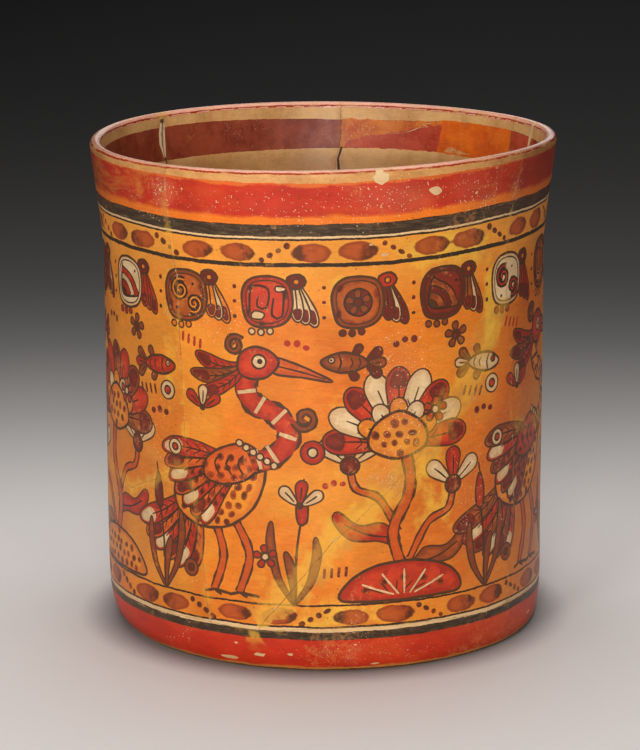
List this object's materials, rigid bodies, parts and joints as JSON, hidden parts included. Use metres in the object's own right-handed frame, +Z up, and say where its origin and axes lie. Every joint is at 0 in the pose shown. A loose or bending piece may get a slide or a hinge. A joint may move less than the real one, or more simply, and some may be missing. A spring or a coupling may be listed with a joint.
{
  "type": "painted ceramic cylinder vase",
  "caption": "Restored straight-sided clay vase with a flared lip, painted in orange, red, cream and black slip, standing on its flat base.",
  "frame": {"origin": "centre of the flat standing face", "axes": "+Z up along the axis of the vase, -Y towards the pictured side, +X to the right of that side"},
  "size_m": [0.16, 0.16, 0.1705],
  "materials": {
    "painted_clay": "burnished slip paint in orange, red, cream and black, worn and retouched",
    "restorer_fill": "matt off-white filler"
  },
  "bodies": {
    "root": {"base_sherd_front": "painted_clay", "base_sherd_back": "painted_clay", "rim_sherd_front": "painted_clay", "rim_sherd_right": "painted_clay", "rim_sherd_wedge": "painted_clay", "rim_sherd_back_right": "painted_clay", "rim_sherd_back_left": "painted_clay", "rim_sherd_left": "painted_clay", "lower_sherd_front": "painted_clay", "lower_sherd_right": "painted_clay", "lower_sherd_back_right": "painted_clay", "lower_sherd_back_left": "painted_clay", "lower_sherd_left": "painted_clay", "filler_strip_left": "restorer_fill", "lip_fill_front": "restorer_fill", "lip_fill_right": "restorer_fill", "corner_fill_back": "restorer_fill"}
  },
  "joints": []
}
